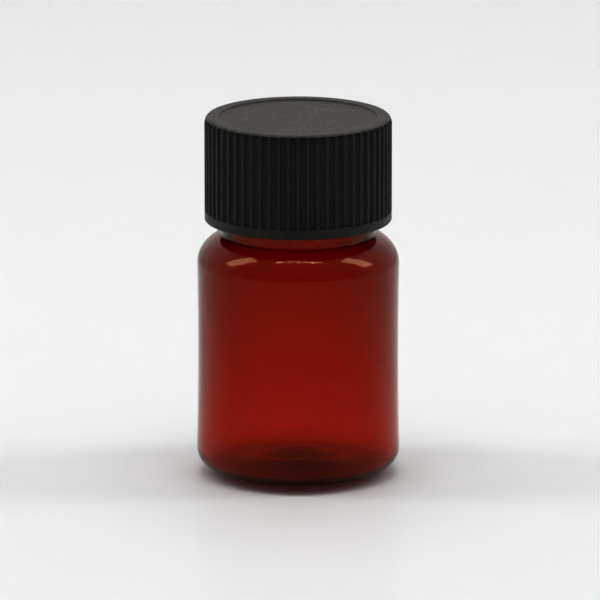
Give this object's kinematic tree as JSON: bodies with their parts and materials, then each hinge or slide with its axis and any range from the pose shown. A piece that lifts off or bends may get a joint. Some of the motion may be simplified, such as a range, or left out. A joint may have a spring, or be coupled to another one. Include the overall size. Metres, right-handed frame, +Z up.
{
  "type": "prescription vial",
  "caption": "Small round amber pharmacy bottle with a threaded neck, a ribbed black screw cap and a loose sealing liner inside the cap.",
  "frame": {"origin": "centre of the ring that the bottle stands on, on the surface it stands on", "axes": "+Z up along the bottle's own axis, out through the neck and the cap; the body is round, so +X and +Y are any two level directions, and the neck's thread starts at +X"},
  "size_m": [0.0332, 0.0332, 0.0584],
  "materials": {
    "amber_plastic": "clear amber-red, glossy, moulded PET",
    "black_plastic": "black, fine satin grain, moulded polypropylene",
    "liner_foam": "off-white, closed-cell foamed polyethylene sheet with smooth skins"
  },
  "bodies": {
    "bottle": {"bottle": "amber_plastic"},
    "liner": {"liner": "liner_foam"},
    "cap": {"cap": "black_plastic"}
  },
  "joints": [
    {"name": "cap_lift", "type": "slide", "parent": "bottle", "child": "liner", "axis": [0, 0, 1], "range_m": [0, 0.0152]},
    {"name": "cap_turn", "type": "hinge", "parent": "liner", "child": "cap", "pos_m": [0, 0, 0.0498], "axis": [0, 0, 1], "range_deg": [0, 1290]}
  ],
  "couplings": [
    {"joint": "cap_lift", "follows": "cap_turn", "m_per_rad": 0.00067376}
  ]
}
